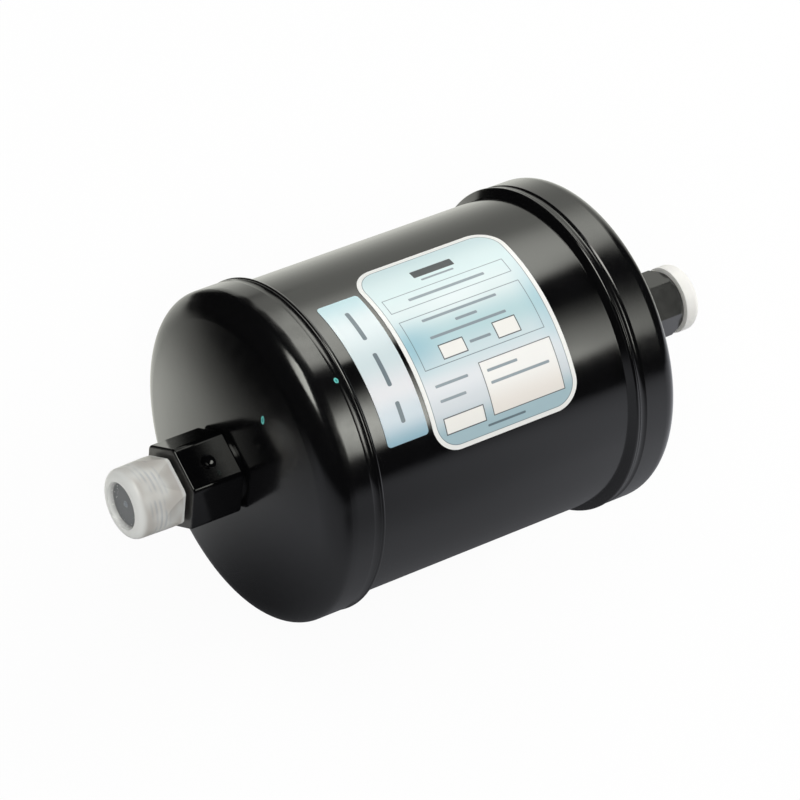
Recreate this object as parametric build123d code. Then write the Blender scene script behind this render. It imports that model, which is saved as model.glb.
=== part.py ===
"""In-line filter drier and receiver: a welded steel can with a hexagonal union at each end.

Millimetres. +X runs along the can from the inlet to the outlet, +Z is the side marked as
up by the labels, and the origin is the centre of the shell. A distance called s is measured
outwards from the mouth of an end cap's skirt, where the girth weld lies.
"""
import os
from math import asin, atan, cos, degrees, hypot, pi, radians, sin, sqrt, tan

from build123d import *

INCH = 25.4
SMALL = 0.01

# Can
shell_diameter = 4.0 * INCH
shell_wall = 2.0
cap_wall = 2.3
cap_slip_gap = 0.05
mouth_spacing = 95.4
shell_lap = 9.0
skirt_length = 11.2
knuckle_axial = 7.0
knuckle_radial = 10.5
knuckle_turn = 72.0
groove_start = 0.9
groove_width = 2.6
groove_depth = 0.4

# Girth welds
weld_toe = 1.9
weld_cover = 0.7
weld_crown = 0.25
weld_shoulder = 0.6

# Fittings
hex_rise = 0.53
fitting_hole_gap = 0.05
shank_reach = 3.5
braze_width = 1.7

inlet_hex_flats = 1.0 * INCH
inlet_hex_length = 18.0
inlet_hex_corner = 2.0
inlet_hex_edge = 0.8
inlet_shank_radius = 10.5
inlet_stub_length = 14.1
inlet_thread_diameter = 0.75 * INCH
inlet_threads_per_inch = 16
inlet_relief_length = 1.6
inlet_relief_depth = 0.5
inlet_lead_chamfer = 0.9
inlet_port_radius = 6.55
inlet_port_depth = 14.0
inlet_way_radius = 4.8
dimple_radius = 2.4
dimple_depth = 1.1

outlet_hex_flats = 0.75 * INCH
outlet_hex_length = 29.4
outlet_hex_roll = 15.3
outlet_face_radius = 9.45
outlet_chamfer_length = 2.2
outlet_shank_radius = 8.0
outlet_thread_diameter = 0.625 * INCH
outlet_threads_per_inch = 18
outlet_thread_clearance = 0.06
outlet_thread_length = 14.0
outlet_way_radius = 3.6
port_lip = 0.4

# Plastic closures
cap_bore_gap = 0.15
cap_skin = 1.475
cap_end_gap = 0.3
cap_membrane = 1.2
cap_recess_depth = 1.7
cap_recess_radius = 7.2
cap_foot_gap = 1.2
cap_end_round = 2.6
cap_foot_flare = 0.3
cap_flat_apothem = 10.2
cap_flat_draft = 9.0
gate_radius = 0.9
gate_height = 0.5

plug_head_radius = 10.95
plug_head_length = 5.6
plug_head_round = 2.4
plug_seat_gap = 0.3
plug_stem_gap = 0.2
plug_stem_length = 8.5
plug_wall = 1.5

# Labels
label_thickness = 0.15
label_glue = 0.02
main_label_start = -25.2
main_label_length = 53.5
main_label_arc = 74.5
main_label_corner = 9.0
side_label_start = -41.5
side_label_length = 14.8
side_label_arc = 56.0
side_label_corner = 1.2

# Inside the can
inner_gap = 0.3
stop_ring_start = 24.0
stop_ring_section = 3.0
plate_thickness = 1.5
plate_rim = 5.0
plate_hole_radius = 7.5
plate_hole_pitch = 27.0
plate_hole_count = 6
pad_thickness = 6.0
bead_volume = 12.0 * INCH ** 3
spring_wire = 3.2
spring_turns = 2.5
spring_arcs_per_turn = 8
spring_plate_radius = 38.0
spring_cap_radius = 15.0
spring_seat_gap = 0.3

tube_radius = 4.76
tube_wall = 0.9
tube_socket_depth = 7.0
tube_socket_gap = 0.05
tube_drop_x = 37.0
tube_bend_radius = 16.0
tube_foot_clearance = 5.5
strainer_wall = 0.8
strainer_reach = 14.0
strainer_collar = 4.0
strainer_radius = 7.5
strainer_floor_gap = 1.8
strainer_slots = 8
slot_width = 2.0
slot_end_margin = 2.0

# Sizes that follow from the ones above
shell_radius = shell_diameter / 2
shell_bore = shell_radius - shell_wall
cap_bore = shell_radius + cap_slip_gap
skirt_radius = cap_bore + cap_wall
mouth_x = mouth_spacing / 2
shell_half = mouth_x + shell_lap
crown_steepness = tan(radians(knuckle_turn)) * knuckle_radial / knuckle_axial

# Unified threads: depth over pitch outside, and from the nominal size to the crest inside
outside_depth_ratio = 0.6134
inside_depth_ratio = 0.5413
inlet_thread_root = (
    inlet_thread_diameter / 2 - outside_depth_ratio * INCH / inlet_threads_per_inch)
outlet_thread_root = outlet_thread_diameter / 2 + outlet_thread_clearance
outlet_thread_crest = (
    outlet_thread_diameter / 2 - inside_depth_ratio * INCH / outlet_threads_per_inch)


def to_outlet(shape):
    """Moves a shape drawn with s along +X to the outlet end."""
    return Pos(mouth_x, 0, 0) * shape


def to_inlet(shape):
    """Mirrors a shape drawn with s along +X to the inlet end."""
    return mirror(to_outlet(shape), about=Plane.YZ)


def turned(*lines):
    """A solid of revolution about X, from lines that close a section in X and radius."""
    return revolve(make_face(Curve() + list(lines)), Axis.X, 360)


def turned_outline(points):
    """A solid of revolution about X, from the corners of its section."""
    return turned(Polyline(*points, close=True))


def ring(start, end, inner, outer):
    """A plain ring round X."""
    return turned_outline([(start, inner), (end, inner), (end, outer), (start, outer)])


def rod(start, end, radius):
    """A plain cylinder along X."""
    return extrude(Plane.YZ.offset(start) * Circle(radius), end - start)


class DishedCurve:
    """Knuckle and crown of a dished end: a quarter-like ellipse that runs into a large arc."""

    def __init__(self, radius, axial, radial):
        turn = atan(crown_steepness * axial / radial)
        self.knuckle_centre = (skirt_length, radius - radial)
        self.start = (skirt_length, radius)
        self.axial = axial
        self.radial = radial
        self.turn = degrees(turn)
        self.end_r = radius - radial * (1 - cos(turn))
        end_s = skirt_length + axial * sin(turn)
        self.centre_s = end_s - self.end_r * crown_steepness
        self.crown_radius = hypot(self.end_r, end_s - self.centre_s)
        self.apex = self.centre_s + self.crown_radius

    def height(self, radius):
        """How far out the crown lies at a radius."""
        return self.centre_s + sqrt(self.crown_radius ** 2 - radius ** 2)

    def crown(self, from_radius, to_radius):
        """The crown's arc between two radii."""
        low = degrees(asin(from_radius / self.crown_radius))
        high = degrees(asin(to_radius / self.crown_radius))
        return CenterArc((self.centre_s, 0), self.crown_radius, low, high - low)

    def lines(self):
        knuckle = EllipticalCenterArc(
            self.knuckle_centre, self.axial, self.radial, 90 - self.turn, arc_size=self.turn)
        return [knuckle, self.crown(0, self.end_r)]


outer_dish = DishedCurve(skirt_radius, knuckle_axial, knuckle_radial)
inner_dish = DishedCurve(cap_bore, knuckle_axial - cap_wall, knuckle_radial - cap_wall)

hex_seat = outer_dish.apex + hex_rise
shank_inner_end = inner_dish.apex - shank_reach
inlet_hex_front = hex_seat + inlet_hex_length
inlet_stub_end = inlet_hex_front + inlet_stub_length
outlet_hex_front = hex_seat + outlet_hex_length


def make_shell():
    return ring(-shell_half, shell_half, shell_bore, shell_radius)


def make_end_cap(hole_radius):
    """Deep-drawn end: skirt over the shell, a shallow rolled groove, knuckle and crown."""
    groove_end = groove_start + groove_width
    groove_middle = (groove_start + groove_width / 2, skirt_radius - groove_depth)
    body = turned(
        Line((0, cap_bore), (0, skirt_radius)),
        Line((0, skirt_radius), (groove_start, skirt_radius)),
        ThreePointArc((groove_start, skirt_radius), groove_middle, (groove_end, skirt_radius)),
        Line((groove_end, skirt_radius), outer_dish.start),
        *outer_dish.lines(),
        Line((outer_dish.apex, 0), (inner_dish.apex, 0)),
        *inner_dish.lines(),
        Line(inner_dish.start, (0, cap_bore)),
    )
    return body - rod(0, hex_seat, hole_radius)


def make_girth_weld():
    """Weld bead in the step between the shell and the mouth of the skirt."""
    toe = (-weld_toe, shell_radius)
    shoulder = (-weld_shoulder, skirt_radius - weld_crown)
    crest = (weld_cover / 4, skirt_radius + weld_crown)
    edge = (weld_cover, skirt_radius)
    return turned(
        Line(toe, shoulder),
        ThreePointArc(shoulder, crest, edge),
        Polyline(edge, (0, skirt_radius), (0, shell_radius), toe),
    )


def hexagon(flats, corner=0.0, roll=0.0):
    """A hexagon across the can's axis, with a flat on top when roll is nought."""
    outline = RegularPolygon(flats / 2, 6, major_radius=False)
    if corner:
        outline = fillet(outline.vertices(), corner)
    return Plane.YZ * Rot(0, 0, roll) * outline


def make_inlet_fitting():
    """Male union: shank, rounded hexagon, thread core and stepped port, with an up mark."""
    nut = extrude(hexagon(inlet_hex_flats, inlet_hex_corner), inlet_hex_length)
    ends = nut.edges().group_by(Axis.X)
    nut = Pos(hex_seat, 0, 0) * fillet(ends[0] + ends[-1], inlet_hex_edge)
    relief_end = inlet_hex_front + inlet_relief_length
    relief_radius = inlet_thread_root - inlet_relief_depth
    stub = turned_outline([
        (inlet_hex_front - 1, 0),
        (inlet_hex_front - 1, relief_radius),
        (relief_end - inlet_relief_depth, relief_radius),
        (relief_end, inlet_thread_root),
        (inlet_stub_end - inlet_lead_chamfer, inlet_thread_root),
        (inlet_stub_end, inlet_thread_root - inlet_lead_chamfer),
        (inlet_stub_end, 0),
    ])
    body = nut + stub + rod(shank_inner_end, hex_seat + 1, inlet_shank_radius)
    port_floor = inlet_stub_end - inlet_port_depth
    port = turned_outline([
        (shank_inner_end - SMALL, 0),
        (shank_inner_end - SMALL, inlet_way_radius),
        (port_floor, inlet_way_radius),
        (port_floor, inlet_port_radius),
        (inlet_stub_end - port_lip, inlet_port_radius),
        (inlet_stub_end + SMALL, inlet_port_radius + port_lip),
        (inlet_stub_end + SMALL, 0),
    ])
    ball = (dimple_radius ** 2 + dimple_depth ** 2) / (2 * dimple_depth)
    ball_height = inlet_hex_flats / 2 - dimple_depth + ball
    dimple = Pos(hex_seat + inlet_hex_length / 2, 0, ball_height) * Sphere(ball)
    return body - port - dimple


def make_outlet_fitting():
    """Female union: long hexagon with a turned chamfer, threaded port, seat for the tube."""
    nut = Pos(hex_seat, 0, 0) * extrude(
        hexagon(outlet_hex_flats, roll=outlet_hex_roll), outlet_hex_length)
    corner_radius = outlet_hex_flats / sqrt(3)
    nut = nut & turned_outline([
        (hex_seat, 0),
        (hex_seat, corner_radius + 1),
        (outlet_hex_front - outlet_chamfer_length, corner_radius),
        (outlet_hex_front, outlet_face_radius),
        (outlet_hex_front, 0),
    ])
    body = nut + rod(shank_inner_end, hex_seat + 1, outlet_shank_radius)
    thread_floor = outlet_hex_front - outlet_thread_length
    tube_seat = shank_inner_end + tube_socket_depth
    port = turned_outline([
        (shank_inner_end - SMALL, 0),
        (shank_inner_end - SMALL, tube_radius + tube_socket_gap),
        (tube_seat, tube_radius + tube_socket_gap),
        (tube_seat, outlet_way_radius),
        (thread_floor, outlet_way_radius),
        (thread_floor, outlet_thread_root),
        (outlet_hex_front - port_lip, outlet_thread_root),
        (outlet_hex_front + SMALL, outlet_thread_root + port_lip),
        (outlet_hex_front + SMALL, 0),
    ])
    return body - port


def make_braze(shank_radius):
    """Braze ring that fills the corner between a hexagon, its shank and the crown."""
    outer = shank_radius + braze_width
    crown = outer_dish.crown(shank_radius, outer)
    return turned(
        crown, Polyline(crown @ 1, (hex_seat, outer), (hex_seat, shank_radius), crown @ 0))


def make_thread_cap():
    """Moulded thread protector: round body with six drafted flats that fade from its foot."""
    bore = inlet_thread_diameter / 2 + cap_bore_gap
    outer = bore + cap_skin
    foot = inlet_hex_front + cap_foot_gap
    floor = inlet_stub_end + cap_end_gap
    membrane_end = floor + cap_membrane
    tip = membrane_end + cap_recess_depth
    body = turned(
        Line((foot, 0), (foot, outer + cap_foot_flare)),
        Line((foot, outer + cap_foot_flare), (tip - cap_end_round, outer)),
        RadiusArc((tip - cap_end_round, outer), (tip, outer - cap_end_round), cap_end_round),
        Line((tip, outer - cap_end_round), (tip, 0)),
        Line((tip, 0), (foot, 0)),
    )
    flats = hexagon(2 * cap_flat_apothem, cap_foot_flare)
    body = body & Pos(foot, 0, 0) * extrude(flats, tip - foot, taper=-cap_flat_draft)
    recess = turned_outline([
        (membrane_end, 0),
        (membrane_end, cap_recess_radius),
        (tip, cap_recess_radius + port_lip),
        (tip, 0),
    ])
    gate = Pos(membrane_end + gate_height / 2, 0, 0) * (
        Rot(0, 90, 0) * Cone(gate_radius, gate_radius / 2, gate_height))
    return body - rod(foot, floor, bore) - recess + gate


def make_port_plug():
    """Moulded plug: a flanged head on the hexagon's face and a hollow stem in the port."""
    seat = outlet_hex_front + plug_seat_gap
    tip = seat + plug_head_length
    stem = outlet_thread_crest - plug_stem_gap
    stem_end = seat - plug_stem_length
    body = turned(
        Polyline((tip, 0), (stem_end, 0), (stem_end, stem - plug_stem_gap), (seat, stem)),
        Line((seat, stem), (seat, plug_head_radius)),
        Line((seat, plug_head_radius), (tip - plug_head_round, plug_head_radius)),
        RadiusArc(
            (tip - plug_head_round, plug_head_radius),
            (tip, plug_head_radius - plug_head_round), plug_head_round),
        Line((tip, plug_head_radius - plug_head_round), (tip, 0)),
    )
    hollow = stem - plug_stem_gap - plug_wall
    return body - turned_outline([
        (stem_end + plug_wall, 0),
        (stem_end + plug_wall, hollow),
        (tip, hollow + plug_stem_gap),
        (tip, 0),
    ])


def rolled_patch(start, length, arc, middle):
    """A patch of foil on the shell, centred at an angle from the top."""
    inner = shell_radius + label_glue
    outer = inner + label_thickness
    strip = make_face(Polyline(
        (start, inner), (start + length, inner), (start + length, outer), (start, outer),
        close=True))
    return Rot(90 - arc / 2 + middle, 0, 0) * revolve(strip, Axis.X, arc)


def make_label(start, length, arc, corner):
    """A rolled label with round corners, centred on the top."""
    label = rolled_patch(start, length, arc, 0)
    corner_arc = degrees(corner / shell_radius)
    for corner_start, centre_x in ((start, start + corner), (start + length - corner,) * 2):
        for side in (1, -1):
            square = rolled_patch(corner_start, corner, corner_arc, side * (arc - corner_arc) / 2)
            pillar = Rot(side * (arc / 2 - corner_arc), 0, 0) * Pos(
                centre_x, 0, shell_radius) * Cylinder(corner, corner)
            label -= square - pillar
    return label


def make_stop_ring():
    end = stop_ring_start + stop_ring_section
    return ring(stop_ring_start, end, shell_bore - stop_ring_section, shell_bore)


plate_radius = shell_bore - inner_gap
outlet_plate_web = stop_ring_start - plate_rim
outlet_pad_start = outlet_plate_web - pad_thickness
bead_length = bead_volume / (pi * plate_radius ** 2)
bed_start = outlet_pad_start - bead_length
inlet_pad_start = bed_start - pad_thickness
spring_face = inlet_pad_start - plate_thickness


def make_perforated_plate():
    """Drawn plate with a rim along +X and a ring of holes; its pad side lies at x = 0."""
    plate = rod(0, plate_rim, plate_radius)
    plate -= rod(plate_thickness, plate_rim, plate_radius - plate_thickness)
    hole = rod(0, plate_thickness, plate_hole_radius)
    plate -= hole
    for index in range(plate_hole_count):
        plate -= Rot(360 * index / plate_hole_count, 0, 0) * Pos(0, 0, plate_hole_pitch) * hole
    return plate


def spring_point(turns):
    """Place and direction of the spring's wire after a number of turns from its small end."""
    start = -mouth_x - inner_dish.height(spring_cap_radius) + spring_wire / 2 + spring_seat_gap
    rise = (spring_face - spring_seat_gap - spring_wire / 2 - start) / spring_turns
    widening = (spring_plate_radius - spring_cap_radius) / spring_turns
    radius = spring_cap_radius + widening * turns
    angle = 2 * pi * turns
    place = Vector(start + rise * turns, radius * cos(angle), radius * sin(angle))
    round_speed = 2 * pi * radius
    direction = Vector(
        rise,
        widening * cos(angle) - round_speed * sin(angle),
        widening * sin(angle) + round_speed * cos(angle))
    return place, direction.normalized()


def tangent_arc_pair(start, end):
    """Two arcs in space from one place and direction to another, tangent where they meet."""
    chord = end[0] - start[0]
    both = chord.dot(start[1] + end[1])
    opening = 2 * (1 - start[1].dot(end[1]))
    reach = (sqrt(both ** 2 + opening * chord.dot(chord)) - both) / opening
    joint = (start[0] + start[1] * reach + end[0] - end[1] * reach) * 0.5
    first = TangentArc(start[0], joint, tangent=start[1])
    return [first, TangentArc(joint, end[0], tangent=first % 1)]


def make_spring():
    """Conical compression spring of square wire, from the inlet end cap to the inlet plate."""
    spans = round(spring_turns * spring_arcs_per_turn / 2)
    stations = [spring_point(spring_turns * index / spans) for index in range(spans + 1)]
    path = Curve()
    for start, end in zip(stations, stations[1:]):
        path += tangent_arc_pair(start, end)
    place, direction = stations[0]
    section = Plane(place, x_dir=(0, place.Y, place.Z), z_dir=direction) * Rectangle(
        spring_wire, spring_wire)
    return sweep(section, path)


def make_pickup_tube():
    """Tube from the outlet's socket along the can, then down to the lowest liquid."""
    start_x = mouth_x + shank_inner_end + tube_socket_depth
    foot_z = tube_foot_clearance - shell_bore
    route = FilletPolyline(
        (start_x, 0, 0), (tube_drop_x, 0, 0), (tube_drop_x, 0, foot_z), radius=tube_bend_radius)
    mouth = Plane((start_x, 0, 0), z_dir=(-1, 0, 0))
    section = Circle(tube_radius) - Circle(tube_radius - tube_wall)
    return sweep(mouth * section, route)


def make_strainer():
    """Slotted cup round the foot of the pick-up tube."""
    bottom = strainer_floor_gap - sqrt(shell_bore ** 2 - strainer_radius ** 2)
    top = bottom + strainer_reach
    inner = strainer_radius - strainer_wall
    cup = extrude(Plane.XY.offset(bottom) * Circle(strainer_radius), strainer_reach)
    cup -= extrude(
        Plane.XY.offset(bottom + strainer_wall) * Circle(inner),
        strainer_reach - 2 * strainer_wall)
    cup += extrude(Plane.XY.offset(top - strainer_wall) * Circle(tube_radius + strainer_wall),
                   strainer_collar)
    cup -= extrude(Plane.XY.offset(top - 2 * strainer_wall) * Circle(tube_radius),
                   strainer_collar + 2 * strainer_wall)
    slot_height = strainer_reach - 2 * strainer_wall - 2 * slot_end_margin
    for index in range(strainer_slots):
        slot = Pos(inner + strainer_wall / 2, 0, (bottom + top) / 2) * Box(
            3 * strainer_wall, slot_width, slot_height)
        cup -= Rot(0, 0, 360 * index / strainer_slots) * slot
    return Pos(tube_drop_x, 0, 0) * cup


def make_parts():
    """Every piece by its node's name."""
    plate = make_perforated_plate()
    return {
        "shell": make_shell(),
        "inlet_end_cap": to_inlet(make_end_cap(inlet_shank_radius + fitting_hole_gap)),
        "outlet_end_cap": to_outlet(make_end_cap(outlet_shank_radius + fitting_hole_gap)),
        "inlet_girth_weld": to_inlet(make_girth_weld()),
        "outlet_girth_weld": to_outlet(make_girth_weld()),
        "inlet_fitting": to_inlet(make_inlet_fitting()),
        "outlet_fitting": to_outlet(make_outlet_fitting()),
        "inlet_fitting_braze": to_inlet(make_braze(inlet_shank_radius)),
        "outlet_fitting_braze": to_outlet(make_braze(outlet_shank_radius)),
        "inlet_thread_cap": to_inlet(make_thread_cap()),
        "outlet_port_plug": to_outlet(make_port_plug()),
        "main_label": make_label(
            main_label_start, main_label_length, main_label_arc, main_label_corner),
        "orientation_label": make_label(
            side_label_start, side_label_length, side_label_arc, side_label_corner),
        "compression_spring": make_spring(),
        "inlet_perforated_plate": Pos(inlet_pad_start, 0, 0) * mirror(plate, about=Plane.YZ),
        "inlet_filter_pad": rod(inlet_pad_start, bed_start, plate_radius),
        "desiccant_beads": rod(bed_start, outlet_pad_start, plate_radius),
        "outlet_filter_pad": rod(outlet_pad_start, outlet_plate_web, plate_radius),
        "outlet_perforated_plate": Pos(outlet_plate_web, 0, 0) * plate,
        "plate_stop_ring": make_stop_ring(),
        "pickup_tube": make_pickup_tube(),
        "pickup_strainer": make_strainer(),
    }


os.makedirs("parts", exist_ok=True)
for name, part in make_parts().items():
    export_step(part, f"parts/{name}.step")
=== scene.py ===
"""Looks of the filter drier: gloss enamel, plastic closures, foil labels, cut threads, studio."""
import math

import bmesh
import bpy
from mathutils import Matrix, Vector

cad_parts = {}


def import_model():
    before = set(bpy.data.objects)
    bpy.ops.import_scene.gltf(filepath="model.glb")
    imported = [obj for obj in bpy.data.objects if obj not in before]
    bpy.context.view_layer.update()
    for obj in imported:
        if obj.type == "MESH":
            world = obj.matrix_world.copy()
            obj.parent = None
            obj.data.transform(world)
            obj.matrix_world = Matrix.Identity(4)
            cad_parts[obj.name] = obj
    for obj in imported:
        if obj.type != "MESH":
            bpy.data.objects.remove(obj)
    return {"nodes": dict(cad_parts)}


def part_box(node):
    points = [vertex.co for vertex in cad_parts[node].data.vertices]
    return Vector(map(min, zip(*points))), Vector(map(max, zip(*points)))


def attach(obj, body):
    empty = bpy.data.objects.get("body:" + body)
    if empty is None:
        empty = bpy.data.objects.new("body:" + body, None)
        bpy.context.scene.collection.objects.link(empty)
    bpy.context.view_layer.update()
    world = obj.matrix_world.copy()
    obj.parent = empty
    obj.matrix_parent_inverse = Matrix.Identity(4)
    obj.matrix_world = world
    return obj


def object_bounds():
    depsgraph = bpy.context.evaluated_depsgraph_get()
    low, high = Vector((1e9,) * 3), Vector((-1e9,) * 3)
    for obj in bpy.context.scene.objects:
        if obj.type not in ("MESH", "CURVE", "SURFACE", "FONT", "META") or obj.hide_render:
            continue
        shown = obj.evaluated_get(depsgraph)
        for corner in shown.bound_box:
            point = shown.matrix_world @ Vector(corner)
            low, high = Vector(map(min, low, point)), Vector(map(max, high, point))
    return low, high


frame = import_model()
cad_low, cad_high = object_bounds()
nodes = frame["nodes"]

MM = 0.001
INCH = 0.0254

# Places that the frame gives
_, shell_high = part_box("shell")
SHELL_RADIUS = shell_high.z
fitting_low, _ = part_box("inlet_fitting")
INLET_TIP = fitting_low.x
_, outlet_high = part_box("outlet_fitting")
OUTLET_FACE = outlet_high.x
closure_low, closure_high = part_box("inlet_thread_cap")
CLOSURE_TIP = closure_low.x
CLOSURE_FOOT = closure_high.x
main_low, main_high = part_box("main_label")
side_low, side_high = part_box("orientation_label")
_, near_cap_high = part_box("inlet_end_cap")
NEAR_CAP_FOOT = near_cap_high.x

# Unified threads on the unions, and where their turns start and end
INLET_STUB = 14.1 * MM
INLET_RELIEF = 1.6 * MM
INLET_MAJOR = 0.75 * INCH / 2
INLET_PITCH = INCH / 16
INLET_LEAD_IN = 1.3 * MM
INLET_END_GAP = 0.4 * MM
OUTLET_CLEARANCE = 0.06 * MM
OUTLET_MAJOR = 0.625 * INCH / 2 + OUTLET_CLEARANCE
OUTLET_PITCH = INCH / 18
OUTLET_DEPTH = 14.0 * MM
OUTLET_LEAD_IN = 1.2 * MM
OUTLET_END_GAP = 1.6 * MM
OUTSIDE_DEPTH = 0.6134
INSIDE_DEPTH = 0.5836

# A ridge's half widths in pitches, its sunk foot, and the turns over which it runs out
FOOT_HALF = 0.44
CREST_HALF = 0.075
FOOT_SUNK = 0.08 * MM
RUN_OUT_TURNS = 0.4
LEAST_HEIGHT = 0.03
THREAD_STEPS = 64

# Photograph: the can lies rolled about its axis, seen from one side and above
PHOTO_ROLL = Matrix.Rotation(math.radians(-38.25), 4, "X")
CAMERA_AZIMUTH = -35.43
CAMERA_ELEVATION = 32.03
CAMERA_DISTANCE = 1.3716
CAMERA_AIM = Vector((-3.11, 1.54, -0.88)) * MM
CAMERA_LENS = 199.1
CAMERA_SENSOR = 36.0
CAMERA_REACH = 100.0


def srgb(red, green, blue):
    """A colour given in 0 to 255, as the linear values that sockets take."""
    return tuple(
        (c / 255 / 12.92 if c <= 10 else ((c / 255 + 0.055) / 1.055) ** 2.4)
        for c in (red, green, blue)) + (1.0,)


class Graph:
    """One material's nodes, with short words for the ones used most."""

    def __init__(self, name):
        self.material = bpy.data.materials.new(name)
        self.material.use_nodes = True
        self.tree = self.material.node_tree
        self.shader = self.tree.nodes["Principled BSDF"]
        self.output = self.tree.nodes["Material Output"]
        coordinates = self.node("ShaderNodeTexCoord").outputs["Object"]
        self.place = self.vector("SCALE", coordinates, scale=1 / MM)

    def node(self, kind, **settings):
        made = self.tree.nodes.new(kind)
        for key, value in settings.items():
            setattr(made, key, value)
        return made

    def feed(self, socket, value):
        if isinstance(value, bpy.types.NodeSocket):
            self.tree.links.new(value, socket)
        else:
            socket.default_value = value

    def math(self, operation, *values):
        made = self.node("ShaderNodeMath", operation=operation)
        for socket, value in zip(made.inputs, values):
            self.feed(socket, value)
        return made.outputs[0]

    def product(self, first, *others):
        """Numbers multiplied together, from left to right."""
        for value in others:
            first = self.math("MULTIPLY", first, value)
        return first

    def length(self, first, second):
        """Length of a line from its reach in two square directions."""
        squares = [self.product(reach, reach) for reach in (first, second)]
        return self.math("SQRT", self.math("ADD", *squares))

    def degrees(self, radians):
        return self.product(radians, 180 / math.pi)

    def vector(self, operation, *values, scale=None):
        made = self.node("ShaderNodeVectorMath", operation=operation)
        for socket, value in zip(made.inputs, values):
            self.feed(socket, value)
        if scale is not None:
            self.feed(made.inputs["Scale"], scale)
        gives_number = operation in ("LENGTH", "DOT_PRODUCT")
        return made.outputs["Value" if gives_number else "Vector"]

    def axes(self, vector=None):
        made = self.node("ShaderNodeSeparateXYZ")
        self.feed(made.inputs[0], vector or self.place)
        return made.outputs[0], made.outputs[1], made.outputs[2]

    def noise(self, size, detail=3.0, roughness=0.5, vector=None):
        """Noise with features about size millimetres across."""
        made = self.node("ShaderNodeTexNoise")
        self.feed(made.inputs["Vector"], vector or self.place)
        made.inputs["Scale"].default_value = 1 / size
        made.inputs["Detail"].default_value = detail
        made.inputs["Roughness"].default_value = roughness
        return made.outputs["Fac"]

    def cells(self, size):
        """Each cell's distance from its middle, in cells, and its own random colour."""
        made = self.node("ShaderNodeTexVoronoi")
        self.feed(made.inputs["Vector"], self.place)
        made.inputs["Scale"].default_value = 1 / size
        return made.outputs["Distance"], made.outputs["Color"]

    def spread(self, value, low, high, to_low=0.0, to_high=1.0, smooth=True):
        """Maps a value from one range to another, held at its ends."""
        made = self.node("ShaderNodeMapRange")
        made.interpolation_type = "SMOOTHSTEP" if smooth else "LINEAR"
        self.feed(made.inputs["Value"], value)
        made.inputs["From Min"].default_value = low
        made.inputs["From Max"].default_value = high
        made.inputs["To Min"].default_value = to_low
        made.inputs["To Max"].default_value = to_high
        return made.outputs["Result"]

    def mix(self, factor, first, second):
        made = self.node("ShaderNodeMix", data_type="RGBA")
        self.feed(made.inputs[0], factor)
        self.feed(made.inputs[6], first)
        self.feed(made.inputs[7], second)
        return made.outputs[2]

    def stops(self, factor, interpolation, stops):
        made = self.node("ShaderNodeValToRGB")
        made.color_ramp.interpolation = interpolation
        elements = made.color_ramp.elements
        elements.remove(elements[-1])
        elements[0].position, elements[0].color = stops[0]
        for position, colour in stops[1:]:
            elements.new(position).color = colour
        self.feed(made.inputs[0], factor)
        return made.outputs[0]

    def ramp(self, factor, stops):
        """Colours that run smoothly into each other."""
        return self.stops(factor, "EASE", stops)

    def curve(self, value, points):
        """Follows straight runs between points, held at both ends."""
        low, high = points[0][0], points[-1][0]
        top = max(level for _, level in points)
        greys = [
            ((place - low) / (high - low), (level / top,) * 3 + (1.0,))
            for place, level in points]
        share = self.spread(value, low, high, smooth=False)
        return self.product(self.stops(share, "LINEAR", greys), top)

    def bump(self, height, distance, normal=None):
        """Tilts the surface by a height that spans distance millimetres."""
        made = self.node("ShaderNodeBump")
        made.inputs["Distance"].default_value = distance * MM
        self.feed(made.inputs["Height"], height)
        if normal is not None:
            self.feed(made.inputs["Normal"], normal)
        return made.outputs["Normal"]

    def set(self, **values):
        """Sets the main shader's sockets, named with underscores."""
        for key, value in values.items():
            self.feed(self.shader.inputs[key.replace("_", " ")], value)
        return self.material


# Enamel: its colours, and the least and most roughness on the shell and on the caps
ENAMEL = srgb(8, 8, 9)
ENAMEL_PALE = tuple(c * 1.5 for c in ENAMEL[:3]) + (1.0,)
BODY_GLOSS = (0.10, 0.14)
CAP_GLOSS = (0.13, 0.18)

# Dust on the enamel, in millimetres, and the share of cells that hold a speck
DUST_CELL = 9.0
DUST_SHARE = 0.3
SPECK_RIM = 0.32
SPECK_CORE = 0.20
DUST_COLOUR = srgb(176, 180, 178)

# Paint marks left by an inspector: place and radius in millimetres, and times as tall as wide
CAP_MARK = ((-67.99, 1.01, 32.66), 0.8, 2.0)
SKIRT_MARK = ((-50.98, -0.82, 53.14), 0.95, 1.15)
MARK_SOFT = 0.2
MARK_CORE = srgb(38, 128, 122)
MARK_RIM = srgb(104, 196, 188)
LYING_UP = tuple(PHOTO_ROLL @ Vector((0.0, 0.0, 1.0)))

# Rolled groove of the near cap, in millimetres, and how much of it the enamel evens out
GROOVE_MIDDLE = NEAR_CAP_FOOT / MM - 2.2
GROOVE_HALF = 1.3
GROOVE_FILL = 0.27

# Where the near cap's knuckle runs out into its skirt, and the slight draw that it has there
DRAW_END = NEAR_CAP_FOOT / MM - 8.8
DRAW_LENGTH = 7.7
DRAW_FALL = 0.5


def spot(graph, centre, radius, longer):
    """A small ragged drop, taller up the lying can, and how far out of its core a place is."""
    offset = graph.vector("SUBTRACT", graph.place, centre)
    lengthwise = graph.vector("SCALE", LYING_UP,
                              scale=graph.vector("DOT_PRODUCT", offset, LYING_UP))
    shortened = graph.vector("SCALE", lengthwise, scale=1 - 1 / longer)
    distance = graph.vector("LENGTH", graph.vector("SUBTRACT", offset, shortened))
    ragged = graph.product(graph.math("SUBTRACT", graph.noise(0.7, 2), 0.5), 0.5)
    distance = graph.math("ADD", distance, ragged)
    drop = graph.spread(distance, radius, radius - MARK_SOFT)
    rim = graph.spread(distance, MARK_SOFT, radius * 0.7)
    return drop, rim


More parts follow.
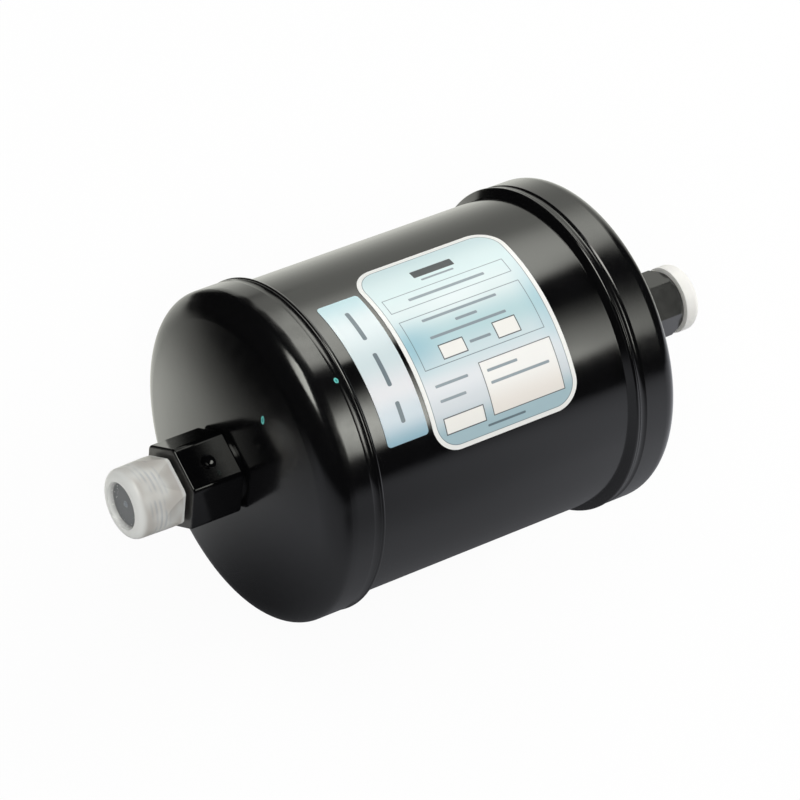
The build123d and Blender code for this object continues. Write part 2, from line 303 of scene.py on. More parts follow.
def dust_and_glints(graph, cell, share):
    """Tiny pale specks of different strength, about one in each chosen cell: a dusting on the
    enamel, and painted glints in the closure's bore.
    """
    distance, random = graph.cells(cell)
    near = graph.spread(distance, SPECK_RIM / cell, SPECK_CORE / cell)
    pick, strength, _ = graph.axes(random)
    chosen = graph.math("GREATER_THAN", pick, 1 - share)
    return graph.product(near, chosen, strength)


def evened_groove(graph, normal):
    """Enamel pooled in the rolled groove, and the draw where the knuckle meets the skirt."""
    along, _, _ = graph.axes()
    aside = graph.math("DIVIDE", graph.math("SUBTRACT", along, GROOVE_MIDDLE), GROOVE_HALF)
    pool = graph.math("SUBTRACT", 1.0, graph.product(aside, aside))
    normal = graph.bump(graph.math("MAXIMUM", pool, 0.0), GROOVE_FILL, normal)
    draw = graph.spread(along, DRAW_END - DRAW_LENGTH, DRAW_END)
    return graph.bump(draw, DRAW_FALL, normal)


def paint_material(name, gloss, marks=(), evened=False):
    """Gloss black enamel with orange peel, a slow waviness of the drawn steel, and a dusting of
    pale specks.
    """
    graph = Graph(name)
    colour = graph.mix(graph.noise(18, 4), ENAMEL, ENAMEL_PALE)
    specks = dust_and_glints(graph, DUST_CELL, DUST_SHARE)
    colour = graph.mix(specks, colour, DUST_COLOUR)
    rough = graph.spread(graph.noise(6, 5, 0.6), 0.3, 0.75, *gloss)
    rough = graph.math("MAXIMUM", rough, graph.product(specks, 0.6))
    for mark in marks:
        drop, rim = spot(graph, *mark)
        colour = graph.mix(drop, colour, graph.mix(rim, MARK_CORE, MARK_RIM))
        rough = graph.math("MAXIMUM", rough, graph.product(drop, 0.35))
    waves = graph.bump(graph.noise(22, 1, 0.4), 0.045)
    normal = graph.bump(graph.noise(1.6, 2, 0.5), 0.0012, waves)
    if evened:
        normal = evened_groove(graph, normal)
    return graph.set(Base_Color=colour, Roughness=rough, Normal=normal, IOR=1.5)


# Where the unions' enamel ends, in millimetres from the inlet's tip and from the outlet's axis
INLET_PAINTED = 14.4
INLET_BARE = 14.0
OUTLET_PAINTED = 8.6
OUTLET_BARE = 8.2


def inlet_bare(graph):
    """The inlet's threaded stub."""
    along, _, _ = graph.axes()
    return graph.spread(along, INLET_TIP / MM + INLET_PAINTED, INLET_TIP / MM + INLET_BARE)


def outlet_bare(graph):
    """The outlet's threaded hole and its mouth."""
    _, across, height = graph.axes()
    return graph.spread(graph.length(across, height), OUTLET_PAINTED, OUTLET_BARE)


def fitting_material(name, bare_part, index, blur):
    """Enamel on the hexagon, dark phosphated steel where the union is threaded."""
    graph = Graph(name)
    bare = bare_part(graph)
    paint = graph.mix(graph.noise(9, 3), srgb(5, 5, 6), srgb(9, 9, 10))
    steel = graph.mix(graph.noise(0.6, 4, 0.6), srgb(66, 66, 66), srgb(104, 103, 100))
    rough = graph.math("ADD", graph.spread(graph.noise(3, 4), 0.3, 0.7, blur, blur + 0.04),
                       graph.product(bare, 0.25))
    forged = graph.bump(graph.noise(12, 1, 0.4), 0.006)
    return graph.set(
        Base_Color=graph.mix(bare, paint, steel), Roughness=rough,
        Metallic=graph.product(bare, 0.8),
        Normal=graph.bump(graph.noise(1.1, 2), 0.0008, forged), IOR=index)


def thread_material():
    """Cut thread: dark steel with fine turning lines."""
    graph = Graph("thread_steel")
    along, _, _ = graph.axes()
    lines = graph.node("ShaderNodeCombineXYZ")
    graph.feed(lines.inputs[0], graph.product(along, 6.0))
    turning = graph.noise(0.5, 2, 0.5, lines.outputs[0])
    colour = graph.mix(graph.noise(2, 3), srgb(70, 70, 69), srgb(112, 111, 108))
    return graph.set(Base_Color=colour, Metallic=0.8,
                     Roughness=graph.spread(turning, 0.2, 0.8, 0.25, 0.45),
                     Normal=graph.bump(turning, 0.004), IOR=1.5)


# Colours of the milky closure: its body; a paler tone for its clouds, for painted light at its end
# and foot, and for painted glints; the painted shade of the thread that shows through its wall,
# also the colour of the gate mark; and the painted shade of the dark bore behind its end, with
# paler patches
MILKY_BODY = srgb(208, 204, 197)
MILKY_PALE = srgb(238, 239, 235)
MILKY_THREAD = srgb(168, 175, 182)
MILKY_BORE_SHADE = srgb(98, 101, 104)
MILKY_BORE_SHADE_PALE = srgb(122, 124, 126)

# Where the milky closure changes, in millimetres from the stub's tip along the can: where the
# thread's painted shade starts and ends, where painted light on the closure's end begins, and the
# back of the bore's painted shade
THREAD_SHADE_FROM = (0.0, 1.5)
THREAD_SHADE_TO = (8.5, 6.0)
END_LIGHT = (0.2, -2.6)
RECESS_BACK = (0.6, 0.3)

# The same from the closure's own tip and foot, and from its axis: the front of the bore's painted
# shade, a painted highlight along the foot, the rims of the bore's painted shade and of the gate
# mark, and where the painted glints start
RECESS_FRONT = (0.3, 1.2)
FOOT_HIGHLIGHT = (-1.6, -0.5)
RECESS_RIM = (7.75, 6.6)
GATE_RIM = (1.3, 0.9)
GLINTS_START = (4.0, 6.0)

# Painted glints behind the closure's end, strewn in the same way as the specks on the enamel
GLINT_CELL = 0.8
GLINT_SHARE = 0.6


def milky_material():
    """Thin soft plastic: faint painted shade where the thread shows through, the dark bore behind
    it as painted shade, painted light at its end and foot, and painted glints.
    """
    graph = Graph("milky_plastic")
    along, across, height = graph.axes()
    from_axis = graph.length(across, height)

    def past(place, offsets):
        return graph.spread(along, *(place / MM + offset for offset in offsets))

    turn = graph.math("DIVIDE", graph.math("ARCTAN2", height, across), 2 * math.pi)
    turn = graph.math("SUBTRACT", graph.math("DIVIDE", along, INLET_PITCH / MM), turn)
    crest = graph.spread(graph.math("SINE", graph.product(turn, 2 * math.pi)), -0.4, 0.7)
    # Painted shade of the thread showing through the wall in patches, over the stub's first turns
    thread_shade = graph.product(graph.spread(graph.noise(5, 1), 0.35, 0.6),
                             past(INLET_TIP, THREAD_SHADE_FROM), past(INLET_TIP, THREAD_SHADE_TO))
    # Painted light on the closure's end past the stub and a painted highlight along its foot, in
    # the paler tone of its clouds
    edges = graph.math("MAXIMUM", past(INLET_TIP, END_LIGHT), past(CLOSURE_FOOT, FOOT_HIGHLIGHT))
    clouds_and_lit_rims = graph.math("MAXIMUM", graph.spread(graph.noise(7, 1), 0.3, 0.8), edges)
    colour = graph.mix(clouds_and_lit_rims, MILKY_BODY, MILKY_PALE)
    colour = graph.mix(graph.product(crest, thread_shade, 0.4), colour, MILKY_THREAD)

    # A disc of painted shade where the dark bore lies behind the closure's end, with the gate mark
    # in its middle
    recess_shade = graph.product(graph.spread(from_axis, *RECESS_RIM), past(INLET_TIP, RECESS_BACK),
                           past(CLOSURE_TIP, RECESS_FRONT))
    bore = graph.mix(graph.noise(2.5, 3), MILKY_BORE_SHADE, MILKY_BORE_SHADE_PALE)
    gate = graph.spread(from_axis, *GATE_RIM)
    bore = graph.mix(graph.product(gate, 0.5), bore, MILKY_THREAD)
    # Painted glints in the outer part of the bore's painted shade
    glints = graph.product(dust_and_glints(graph, GLINT_CELL, GLINT_SHARE),
                           graph.spread(from_axis, *GLINTS_START))
    bore = graph.mix(glints, bore, MILKY_PALE)
    return graph.set(
        Base_Color=graph.mix(recess_shade, colour, bore),
        Roughness=graph.spread(graph.noise(2.5, 4), 0.3, 0.7, 0.30, 0.40),
        Transmission_Weight=0.12, IOR=1.45, Normal=graph.bump(graph.noise(9, 1), 0.02))


def white_material():
    """Plain white moulded plastic, slightly waxy."""
    graph = Graph("white_plastic")
    colour = graph.mix(graph.noise(5, 3), srgb(247, 244, 236), srgb(253, 251, 246))
    rough = graph.spread(graph.noise(2, 4), 0.3, 0.7, 0.34, 0.46)
    skin = graph.bump(graph.noise(0.9, 3), 0.004, graph.bump(graph.noise(6, 2), 0.04))
    return graph.set(
        Base_Color=colour, Roughness=rough, Subsurface_Weight=0.5,
        Subsurface_Radius=(1.0, 1.0, 1.0), Subsurface_Scale=0.001, IOR=1.46, Normal=skin)


class Print:
    """Flat shapes printed on a label, laid out along the can and down its side."""

    SOFT = 0.07

    def __init__(self, graph):
        self.graph = graph
        self.along, across, height = graph.axes()
        angle = graph.math("ARCTAN2", graph.product(across, -1.0), height)
        self.degrees = graph.degrees(angle)
        self.down = graph.product(angle, SHELL_RADIUS / MM)

    @staticmethod
    def arc(degrees):
        """Length down the label of an angle, in millimetres."""
        return math.radians(degrees) * SHELL_RADIUS / MM

    def box(self, left, right, top, bottom, corner=0.0):
        """Distance in millimetres from a box with round corners, below nought inside it."""
        graph = self.graph
        sides = ((self.along, left, right), (self.down, self.arc(top), self.arc(bottom)))
        reach = []
        for value, low, high in sides:
            offset = graph.math("ABSOLUTE", graph.math("SUBTRACT", value, (low + high) / 2))
            reach.append(graph.math("SUBTRACT", offset, (high - low) / 2 - corner))
        outside = graph.length(*(graph.math("MAXIMUM", value, 0.0) for value in reach))
        inside = graph.math("MINIMUM", graph.math("MAXIMUM", *reach), 0.0)
        return graph.math("SUBTRACT", graph.math("ADD", outside, inside), corner)

    def fill(self, colour, distance, ink):
        """Covers the inside of a shape."""
        mask = self.graph.spread(distance, self.SOFT, -self.SOFT, smooth=False)
        return self.graph.mix(mask, colour, ink)

    def line(self, colour, distance, width, ink):
        """Draws a line along a shape's edge."""
        edge = self.graph.math("SUBTRACT", self.graph.math("ABSOLUTE", distance), width / 2)
        return self.fill(colour, edge, ink)


LABEL_WHITE = srgb(243, 243, 239)
THIN_INK = srgb(104, 120, 128)
DARK_INK = srgb(52, 58, 62)
GREY_INK = srgb(140, 152, 158)
DASH_INK = srgb(112, 124, 130)
BOX_WHITE = srgb(244, 242, 236)
BOX_CREAM = srgb(243, 242, 238)
BOX_WARM = srgb(238, 232, 224)

# Both labels, in millimetres along the can and degrees down from the top
MAIN_CENTRE = (main_low.x + main_high.x) / 2 / MM
MAIN_HALF = (main_high.x - main_low.x) / 2 / MM
MAIN_ARC_HALF = 37.25
MAIN_CORNER = 9.0
BORDER = 1.55
SIDE_CENTRE = (side_low.x + side_high.x) / 2 / MM
SIDE_ARC_HALF = 28.0

# Outlined boxes, white boxes and bars: left and right in mm, top and bottom in degrees
OUTLINED = ((-21.5, 23.0, -21.2, -15.2), (-21.1, 23.1, -11.0, 8.0))
WHITE_BOXES = ((-13.4, -4.6, 1.3, 6.4), (7.0, 15.3, 0.4, 6.2), (-20.7, -6.2, 25.3, 30.9))
LARGE_BOX = (-3.1, 23.4, 11.6, 30.2)
BARS = (
    ((-6.5, 8.5, -29.4, -26.2), DARK_INK),
    ((-5.0, 7.0, -24.9, -24.1), GREY_INK),
    ((-13.5, 14.5, -18.7, -17.6), GREY_INK),
    ((-14.0, 13.5, -9.3, -8.3), GREY_INK),
    ((-3.5, 4.5, -5.9, -4.9), GREY_INK),
    ((-14.5, 13.5, -2.5, -1.5), GREY_INK),
    ((-2.8, 5.0, 3.3, 4.3), GREY_INK),
    ((-20.0, -8.0, 13.7, 14.7), GREY_INK),
    ((-20.0, -10.5, 18.9, 19.9), GREY_INK),
    ((-1.2, 10.0, 14.6, 15.6), GREY_INK),
    ((-1.2, 20.5, 18.9, 19.9), GREY_INK),
    ((-6.0, 8.0, 32.5, 33.3), THIN_INK),
)
STRIP_DASHES = ((-22.0, -9.5), (-4.0, 8.5), (14.0, 21.5))

# Widths of the printed lines, the bars' corners, and the strip's dashes, in millimetres
BORDER_LINE = 0.2
OUTLINE = 0.22
LARGE_BOX_LINE = 0.26
WHITE_BOX_LINE = 0.32
BAR_CORNER = 0.3
DASH_HALF = 0.75
DASH_CORNER = 0.6


def foil_finish(graph, colour):
    """Satin foil: a faint grain and slow waves from being rubbed down on the paint."""
    rough = graph.spread(graph.noise(1.5, 4), 0.3, 0.7, 0.30, 0.40)
    waves = graph.bump(graph.noise(14, 2), 0.05)
    normal = graph.bump(graph.noise(0.35, 2), 0.0015, waves)
    return graph.set(Base_Color=colour, Roughness=rough, Normal=normal, IOR=1.46)


def main_label_field(graph, sheet):
    """The foil's colour: pale and blue bands down the label, a bluer left and right, and a painted
    highlight a little above its middle.
    """
    fade = graph.spread(sheet.degrees, -MAIN_ARC_HALF, MAIN_ARC_HALF, smooth=False)
    field = graph.ramp(fade, (
        (0.00, srgb(205, 227, 229)),
        (0.16, srgb(219, 237, 237)),
        (0.33, srgb(222, 234, 234)),
        (0.48, srgb(188, 216, 219)),
        (0.60, srgb(209, 224, 227)),
        (0.70, srgb(226, 229, 232)),
        (0.80, srgb(212, 218, 222)),
        (0.92, srgb(169, 194, 201)),
    ))
    from_middle = graph.math("ABSOLUTE", graph.math("ADD", sheet.degrees, 1.0))
    left_blue = graph.product(graph.spread(sheet.along, -6.0, -24.0, 0.0, 0.75),
                              graph.spread(from_middle, 14.0, 0.0))
    field = graph.mix(left_blue, field, srgb(150, 193, 207))
    right_blue = graph.product(graph.spread(sheet.along, 18.0, 28.0),
                               graph.spread(from_middle, 26.0, 0.0, 0.0, 0.6))
    field = graph.mix(right_blue, field, srgb(172, 206, 217))
    # A painted highlight, pale and soft, at the can's middle and a little above the label's middle
    # line
    from_highlight = graph.math("ABSOLUTE", graph.math("ADD", sheet.degrees, 13.0))
    centre = graph.product(graph.spread(graph.math("ABSOLUTE", sheet.along), 16.0, 0.0),
                           graph.spread(from_highlight, 6.0, 0.0, 0.0, 0.5))
    return graph.mix(centre, field, srgb(236, 243, 243))


def main_label_material():
    """The large label: a white border round the field, with bare boxes and bars for its text."""
    graph = Graph("main_label_print")
    sheet = Print(graph)
    half_length = MAIN_HALF - BORDER
    half_arc = MAIN_ARC_HALF - math.degrees(BORDER * MM / SHELL_RADIUS)
    edge = sheet.box(MAIN_CENTRE - half_length, MAIN_CENTRE + half_length,
                     -half_arc, half_arc, MAIN_CORNER - BORDER)
    colour = sheet.fill(LABEL_WHITE, edge, main_label_field(graph, sheet))
    colour = sheet.line(colour, edge, BORDER_LINE, THIN_INK)
    for place in OUTLINED:
        colour = sheet.line(colour, sheet.box(*place), OUTLINE, THIN_INK)
    cream = graph.mix(graph.spread(sheet.degrees, 17.0, 29.0), BOX_CREAM, BOX_WARM)
    large = sheet.box(*LARGE_BOX)
    colour = sheet.fill(colour, large, cream)
    colour = sheet.line(colour, large, LARGE_BOX_LINE, DARK_INK)
    for place in WHITE_BOXES:
        box = sheet.box(*place)
        colour = sheet.fill(colour, box, BOX_WHITE)
        colour = sheet.line(colour, box, WHITE_BOX_LINE, DARK_INK)
    for place, ink in BARS:
        colour = sheet.fill(colour, sheet.box(*place, corner=BAR_CORNER), ink)
    return foil_finish(graph, colour)


def side_label_material():
    """The narrow label beside it: bands down the foil, with three dashes for its words."""
    graph = Graph("orientation_label_print")
    strip = Print(graph)
    fade = graph.spread(strip.degrees, -SIDE_ARC_HALF, SIDE_ARC_HALF, smooth=False)
    colour = graph.ramp(fade, (
        (0.00, srgb(198, 227, 231)),
        (0.22, srgb(227, 237, 238)),
        (0.48, srgb(209, 223, 225)),
        (0.68, srgb(230, 231, 233)),
        (0.84, srgb(208, 219, 225)),
        (1.00, srgb(148, 182, 196)),
    ))
    for top, bottom in STRIP_DASHES:
        dash = strip.box(SIDE_CENTRE - DASH_HALF, SIDE_CENTRE + DASH_HALF, top, bottom,
                         DASH_CORNER)
        colour = strip.fill(colour, dash, DASH_INK)
    return foil_finish(graph, colour)


def steel_material(name, light, dark, rough):
    """Mill-finish steel with faint drawing lines and patches."""
    graph = Graph(name)
    drawn = graph.vector("MULTIPLY", graph.place, (0.15, 1.0, 1.0))
    lines = graph.noise(0.8, 4, 0.6, drawn)
    colour = graph.mix(graph.noise(7, 3), light, dark)
    return graph.set(Base_Color=colour, Metallic=1.0,
                     Roughness=graph.spread(lines, 0.3, 0.7, rough - 0.06, rough + 0.1),
                     Normal=graph.bump(lines, 0.004))


def felt_material():
    """Pressed glass felt: pale matted fibres."""
    graph = Graph("glass_felt")
    fibres = graph.noise(0.7, 6, 0.75, graph.vector("MULTIPLY", graph.place, (0.4, 1.0, 1.0)))
    colour = graph.mix(fibres, srgb(214, 206, 178), srgb(246, 241, 222))
    return graph.set(Base_Color=colour, Roughness=0.95, Sheen_Weight=0.3,
                     Normal=graph.bump(fibres, 0.25))


BEAD_SIZE = 2.0


def bead_material():
    """A packed bed of round beads, with painted shade in the gaps between them."""
    graph = Graph("desiccant_beads")
    distance, random = graph.cells(BEAD_SIZE)
    tint, _, _ = graph.axes(random)
    round_top = graph.math("SUBTRACT", 1.0, distance)
    colour = graph.mix(tint, srgb(206, 184, 150), srgb(229, 214, 188))
    # Painted shade in the gaps between the beads, towards the edges of each cell
    colour = graph.mix(graph.spread(distance, 0.45, 0.8), colour, srgb(120, 102, 78))
    return graph.set(Base_Color=colour, Roughness=0.85, Normal=graph.bump(round_top, 0.8))


def link(name, data):
    """A new object in the scene."""
    made = bpy.data.objects.new(name, data)
    bpy.context.scene.collection.objects.link(made)
    return made


def mesh_piece(name, mesh, material):
    """A new object from an edited mesh, in one material."""
    data = bpy.data.meshes.new(name)
    mesh.to_mesh(data)
    mesh.free()
    data.materials.append(material)
    return link(name, data)


def thread_ridge(name, start, end, root, crest, pitch, material):
    """A thread's helical ridge about X as one closed mesh, run out at both ends."""
    foot = root - math.copysign(FOOT_SUNK, crest - root)
    foot_half = pitch * FOOT_HALF
    crest_half = pitch * CREST_HALF
    turns = (end - start) / pitch
    steps = round(turns * THREAD_STEPS)
    mesh = bmesh.new()
    rings = []
    for step in range(steps + 1):
        share = step / steps
        turn = share * turns
        run_out = min(1.0, turn / RUN_OUT_TURNS, (turns - turn) / RUN_OUT_TURNS)
        top = root + (crest - root) * max(run_out, LEAST_HEIGHT)
        angle = 2 * math.pi * turn
        centre = start + (end - start) * share
        corners = ((-foot_half, foot), (-crest_half, top), (crest_half, top), (foot_half, foot))
        rings.append([
            mesh.verts.new((centre + offset, radius * math.cos(angle), radius * math.sin(angle)))
            for offset, radius in corners])
    for first, second in zip(rings, rings[1:]):
        for side in range(4):
            following = (side + 1) % 4
            mesh.faces.new((first[side], first[following], second[following], second[side]))
    mesh.faces.new(rings[0])
    mesh.faces.new(reversed(rings[-1]))
    bmesh.ops.recalc_face_normals(mesh, faces=mesh.faces)
    return mesh_piece(name, mesh, material)


def add_threads(material):
    """Cut threads on the inlet stub and in the outlet hole, which the source leaves plain."""
    outside = thread_ridge(
        "inlet_thread", INLET_TIP + INLET_LEAD_IN,
        INLET_TIP + INLET_STUB - INLET_RELIEF - INLET_END_GAP,
        INLET_MAJOR - OUTSIDE_DEPTH * INLET_PITCH, INLET_MAJOR, INLET_PITCH, material)
    inside = thread_ridge(
        "outlet_thread", OUTLET_FACE - OUTLET_DEPTH + OUTLET_END_GAP, OUTLET_FACE - OUTLET_LEAD_IN,
        OUTLET_MAJOR, OUTLET_MAJOR - INSIDE_DEPTH * OUTLET_PITCH, OUTLET_PITCH, material)
    for ridge in (outside, inside):
        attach(ridge, "vessel")


# Soft lamps: azimuth, elevation, width in metres and power in watts
LAMPS = {
    "overhead_lamp": (-50, 62, 0.80, 3.2),
    "back_lamp": (108, 57, 0.55, 2.8),
    "front_lamp": (-35, 25, 0.60, 6.2),
    "side_lamp": (70, 22, 0.60, 7.4),
}
ROOM_RADIUS = 1.2
ROOM_FOOT = -0.15
ROOM_DARK = 0.010
AMBIENT = 0.16
WARM_LIGHT = srgb(252, 253, 244)
COOL_LIGHT = srgb(246, 248, 255)

# Overhead softbox: its middle and its right as azimuth and elevation, the cosines between which
# it starts, how far right it is cut off, and its level over two azimuths
OVERHEAD_MIDDLE = (-50, 62)
OVERHEAD_RIGHT = (40, 0)
OVERHEAD_RIM = (0.922, 0.968)
OVERHEAD_CUT = (0.19, 0.13)
OVERHEAD_LEVEL = (-85, -50, 7.2, 10.5)

# Lit backdrop, by elevation: azimuth of its left edge, how soft that is, its right edge, level
BACK_LEFT = (
    (0, 112), (33, 106), (41, 106), (49, 97), (53, 96), (57, 86), (60.5, 60), (65, 70), (67, 80))
BACK_SOFT = ((0, 10), (45, 10), (57, 15), (60.5, 5), (70, 4))
BACK_RIGHT = (
    (0, 158), (21, 158), (25, 152), (41, 152), (45, 146), (53, 140), (57, 134), (61, 124),
    (65, 112), (68, 100))
BACK_LEVEL = (
    (0, 1.2), (15, 0.98), (25, 0.95), (33, 1.08), (41, 1.4), (45, 2.1), (49, 3.2), (53, 4.2),
    (57, 4.9), (61, 6.0), (66, 6.4), (68.5, 0))

# Leaning strip in front, by azimuth: elevation of its foot and of its head, and its level
FRONT_FOOT = ((26, 12), (32, 17), (36, 19.5), (40, 25), (44, 35), (48, 43))
FRONT_HEAD = ((26, 33), (30, 37), (36, 43), (44, 48), (50, 51))
FRONT_LEVEL = (
    (24.5, 0), (27, 9.5), (30, 9.5), (33, 6.5), (36, 3.8), (40, 2.4), (44, 1.0), (48, 0.4),
    (51, 0))

# Table under the can: half its width and its gap in metres, then in millimetres along the can
# and away from the camera two round patches, with their radius, and half the can's length
TABLE_HALF = 1.5
TABLE_GAP = 0.4 * MM
TABLE_SHADE = (-75, -200, 120)
TABLE_GLOW = (-92, 140, 110)
CAN_HALF = 58

FLOOR_RADIUS = 6.0
FLOOR_GAP = 0.5 * MM
FLOOR_SEEN = 0.95


def towards(azimuth, elevation):
    """A direction from the lying can: azimuth 0 is square to its near side, 90 is its far end."""
    a, e = math.radians(azimuth), math.radians(elevation)
    return Vector((math.sin(a) * math.cos(e), -math.cos(a) * math.cos(e), math.sin(e)))


def light_material(name):
    """A bare emission material, with its graph for a pattern."""
    graph = Graph(name)
    emission = graph.node("ShaderNodeEmission")
    graph.tree.nodes.remove(graph.shader)
    graph.tree.links.new(emission.outputs[0], graph.output.inputs["Surface"])
    return graph, emission


def lamp(name, azimuth, elevation, size, power):
    """A round soft lamp for everything but the gloss, which has the studio room instead."""
    data = bpy.data.lights.new(name, "AREA")
    data.shape = "DISK"
    data.size = size
    data.energy = power
    made = link(name, data)
    made.visible_glossy = False
    direction = towards(azimuth, elevation)
    turn = direction.to_track_quat("Z", "Y").to_matrix().to_4x4()
    made.matrix_world = PHOTO_ROLL @ Matrix.Translation(direction * ROOM_RADIUS) @ turn


def reflection_only(card):
    """Keeps a studio surface out of everything but the gloss."""
    card.visible_camera = False
    card.visible_transmission = False
    card.visible_diffuse = False
    card.visible_shadow = False
    card.visible_volume_scatter = False


def overhead_glow(graph, direction, azimuth):
    """The round softbox over the near end, dimmer on its left and cut off on its right."""
    facing = graph.vector("DOT_PRODUCT", direction, tuple(towards(*OVERHEAD_MIDDLE)))
    right = graph.vector("DOT_PRODUCT", direction, tuple(towards(*OVERHEAD_RIGHT)))
    aside = graph.math("DIVIDE", right, facing)
    return graph.product(
        graph.spread(facing, *OVERHEAD_RIM), graph.spread(aside, *OVERHEAD_CUT),
        graph.spread(azimuth, *OVERHEAD_LEVEL, smooth=False))


def back_glow(graph, azimuth, elevation):
    """The lit backdrop past the far end, a softbox where it rises, and its faint foot behind."""
    left, soft, right, level = (
        graph.curve(elevation, points)
        for points in (BACK_LEFT, BACK_SOFT, BACK_RIGHT, BACK_LEVEL))
    past_left = graph.math("DIVIDE", graph.math("SUBTRACT", azimuth, left), soft)
    before_right = graph.math("SUBTRACT", right, azimuth)
    inside = graph.product(graph.spread(past_left, -1, 1), graph.spread(before_right, -2, 2))
    foot = graph.product(graph.spread(azimuth, 150, 156, 0.0, 0.45),
                         graph.spread(azimuth, 180, 166), graph.spread(elevation, 18, 4))
    return graph.math("MAXIMUM", graph.product(inside, level), foot)


def front_glow(graph, azimuth, elevation):
    """The leaning strip in front, bright at its left edge and faint to the right."""
    foot, head, level = (
        graph.curve(azimuth, points) for points in (FRONT_FOOT, FRONT_HEAD, FRONT_LEVEL))
    above_foot = graph.math("SUBTRACT", elevation, foot)
    below_head = graph.math("SUBTRACT", head, elevation)
    return graph.product(
        graph.spread(above_foot, -3, 3), graph.spread(below_head, -2.5, 2.5), level)


def studio_room():
    """The dark room round the can with its softboxes, as the gloss shows them."""
    graph, emission = light_material("studio_room")
    direction = graph.vector("NORMALIZE", graph.place)
    x, y, z = graph.axes(direction)
    azimuth = graph.degrees(graph.math("ARCTAN2", x, graph.product(y, -1.0)))
    elevation = graph.degrees(graph.math("ARCSINE", z))
    level = graph.math("ADD", overhead_glow(graph, direction, azimuth), ROOM_DARK)
    level = graph.math("ADD", level, back_glow(graph, azimuth, elevation))
    level = graph.math("ADD", level, front_glow(graph, azimuth, elevation))
    graph.feed(emission.inputs["Strength"], level)
    emission.inputs["Color"].default_value = WARM_LIGHT
    mesh = bmesh.new()
    bmesh.ops.create_uvsphere(mesh, u_segments=72, v_segments=36, radius=ROOM_RADIUS)
    below = [vertex for vertex in mesh.verts if vertex.co.z < ROOM_FOOT]
    bmesh.ops.delete(mesh, geom=below, context="VERTS")
    room = mesh_piece("studio_room", mesh, graph.material)
    room.matrix_world = PHOTO_ROLL
    reflection_only(room)


def round_patch(graph, x, y, centre_x, centre_y, radius):
    """One at a place, and nought from radius millimetres away."""
    distance = graph.length(graph.math("SUBTRACT", x, centre_x),
                            graph.math("SUBTRACT", y, centre_y))
    return graph.spread(distance, radius, 0)


def table_level(graph, x, y):
    """Brightness of the table: a dim front, a bright rear, and falls towards its edges."""
    shade = graph.product(round_patch(graph, x, y, *TABLE_SHADE), 0.6)
    front = graph.product(
        graph.spread(x, 0, 130, 0.53, 0.93), graph.spread(y, 120, 20),
        graph.spread(x, -520, -330, 0.6, 1.0), graph.math("SUBTRACT", 1.0, shade))
    rear = graph.math("ADD", graph.spread(y, 100, 420, 0.78, 1.18),
                      graph.product(round_patch(graph, x, y, *TABLE_GLOW), 0.75))
    rear = graph.product(rear, graph.spread(y, 20, 110))
    ahead = graph.math("ADD", y, graph.product(graph.math("MAXIMUM", x, 0.0), 0.5))
    left_rear = graph.product(graph.spread(x, -125, -265), graph.spread(y, -20, 95))
    past_end = graph.math("SUBTRACT", graph.math("ABSOLUTE", x), CAN_HALF)
    from_can = graph.length(y, graph.math("MAXIMUM", past_end, 0.0))
    return graph.product(
        graph.math("ADD", front, rear),
        graph.spread(ahead, -520, -40),
        graph.spread(x, -760, -170),
        graph.math("MAXIMUM", graph.spread(x, 720, 230), graph.spread(y, 200, 400)),
        graph.math("SUBTRACT", 1.0, left_rear),
        graph.spread(from_can, 5, 85, 0.12, 1.0))


def table_reflection():
    """The white table that the can lies on in the photograph, as its gloss shows it."""
    graph, emission = light_material("table_reflection")
    x, y, _ = graph.axes()
    graph.feed(emission.inputs["Strength"], table_level(graph, x, y))
    graph.feed(emission.inputs["Color"],
               graph.mix(graph.spread(y, 0, 100), COOL_LIGHT, WARM_LIGHT))
    mesh = bmesh.new()
    mesh.faces.new([
        mesh.verts.new((right * TABLE_HALF, rear * TABLE_HALF, 0.0))
        for right, rear in ((-1, -1), (1, -1), (1, 1), (-1, 1))])
    card = mesh_piece("table_reflection", mesh, graph.material)
    card.matrix_world = PHOTO_ROLL @ Matrix.Translation((0, 0, -(cad_high.z + TABLE_GAP)))
    reflection_only(card)


def floor():
    """A pale floor under the can, white to the camera but for the can's soft shadow."""
    graph = Graph("pale_floor")
    rays = graph.node("ShaderNodeLightPath").outputs
    seen = graph.math("MAXIMUM", rays["Is Camera Ray"], rays["Is Glossy Ray"])
    seen = graph.math("MAXIMUM", seen, rays["Is Transmission Ray"])
    white = graph.node("ShaderNodeEmission")
    blend = graph.node("ShaderNodeMixShader")
    graph.set(Base_Color=srgb(246, 246, 245), Roughness=0.9)
    graph.feed(blend.inputs[0], graph.product(seen, FLOOR_SEEN))
    graph.tree.links.new(graph.shader.outputs[0], blend.inputs[1])
    graph.tree.links.new(white.outputs[0], blend.inputs[2])
    graph.tree.links.new(blend.outputs[0], graph.output.inputs["Surface"])
    mesh = bmesh.new()
    bmesh.ops.create_circle(mesh, cap_ends=True, segments=96, radius=FLOOR_RADIUS)
    plane = mesh_piece("floor", mesh, graph.material)
    plane.visible_glossy = False
    plane.location.z = cad_low.z - FLOOR_GAP


def world():
    """White to the camera, in gloss and through plastic, and a low even light elsewhere."""
    scene_world = bpy.data.worlds.new("studio")
    bpy.context.scene.world = scene_world
    scene_world.use_nodes = True
    tree = scene_world.node_tree
    background = tree.nodes["Background"]
    background.inputs["Color"].default_value = (1.0, 1.0, 1.0, 1.0)
    rays = tree.nodes.new("ShaderNodeLightPath").outputs
    value = rays["Is Camera Ray"]
    for kind in ("Is Glossy Ray", "Is Transmission Ray"):
        most = tree.nodes.new("ShaderNodeMath")
        most.operation = "MAXIMUM"
        tree.links.new(value, most.inputs[0])
        tree.links.new(rays[kind], most.inputs[1])
        value = most.outputs[0]
    level = tree.nodes.new("ShaderNodeMapRange")
    level.inputs["To Min"].default_value = AMBIENT
    tree.links.new(value, level.inputs["Value"])
    tree.links.new(level.outputs["Result"], background.inputs["Strength"])


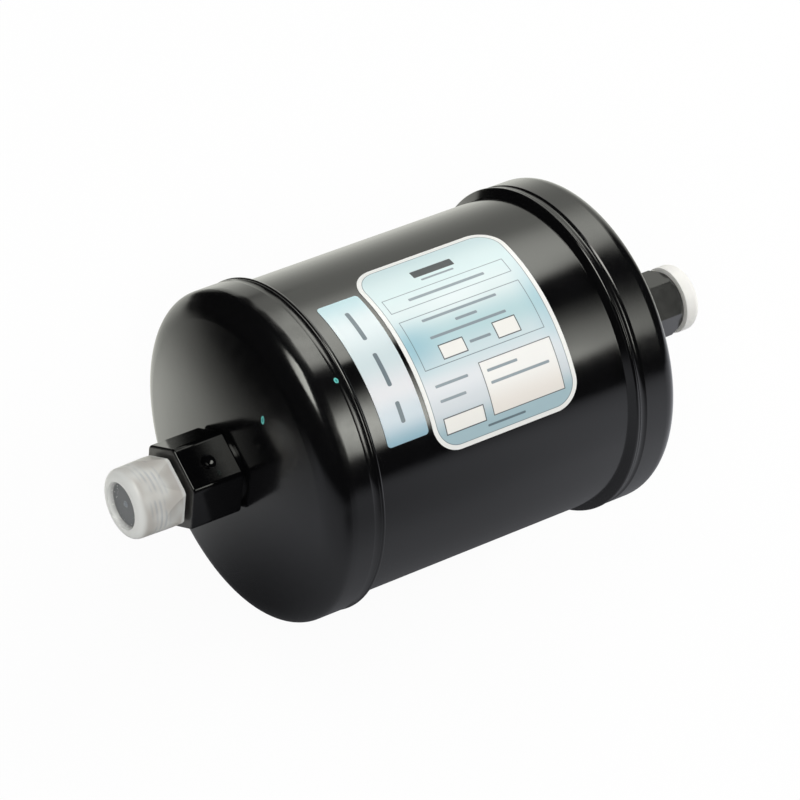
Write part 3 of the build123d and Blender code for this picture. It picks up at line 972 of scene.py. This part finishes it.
def camera():
    """The photograph's view of the lying can, through a long lens."""
    data = bpy.data.cameras.new("camera")
    data.lens = CAMERA_LENS
    data.sensor_width = CAMERA_SENSOR
    data.clip_end = CAMERA_REACH
    view = link("camera", data)
    back = towards(CAMERA_AZIMUTH, CAMERA_ELEVATION)
    turn = (-back).to_track_quat("-Z", "Y").to_matrix().to_4x4()
    lying = Matrix.Translation(CAMERA_AIM + back * CAMERA_DISTANCE) @ turn
    view.matrix_world = PHOTO_ROLL @ lying
    bpy.context.scene.camera = view


camera()
add_threads(thread_material())

body_paint = paint_material("black_paint", BODY_GLOSS)
cap_paint = paint_material("black_cap_paint", CAP_GLOSS)
marked_paint = paint_material("marked_black_paint", CAP_GLOSS, (CAP_MARK, SKIRT_MARK), evened=True)
inner_steel = steel_material("inner_steel", srgb(176, 176, 175), srgb(140, 140, 139), 0.35)
finishes = {
    "shell": body_paint,
    "inlet_end_cap": marked_paint,
    "outlet_end_cap": cap_paint,
    "inlet_girth_weld": body_paint,
    "outlet_girth_weld": body_paint,
    "inlet_fitting_braze": body_paint,
    "outlet_fitting_braze": body_paint,
    "inlet_fitting": fitting_material("inlet_fitting_finish", inlet_bare, index=1.33, blur=0.07),
    "outlet_fitting": fitting_material("outlet_fitting_finish", outlet_bare, index=1.5, blur=0.16),
    "inlet_thread_cap": milky_material(),
    "outlet_port_plug": white_material(),
    "main_label": main_label_material(),
    "orientation_label": side_label_material(),
    "compression_spring": steel_material(
        "spring_steel", srgb(120, 120, 122), srgb(88, 88, 90), 0.28),
    "inlet_perforated_plate": inner_steel,
    "outlet_perforated_plate": inner_steel,
    "plate_stop_ring": inner_steel,
    "pickup_tube": inner_steel,
    "pickup_strainer": inner_steel,
    "inlet_filter_pad": felt_material(),
    "outlet_filter_pad": felt_material(),
    "desiccant_beads": bead_material(),
}
for name, finish in finishes.items():
    nodes[name].data.materials.clear()
    nodes[name].data.materials.append(finish)

for name, values in LAMPS.items():
    lamp(name, *values)
studio_room()
table_reflection()
floor()
world()
bpy.context.scene.view_settings.view_transform = "Standard"
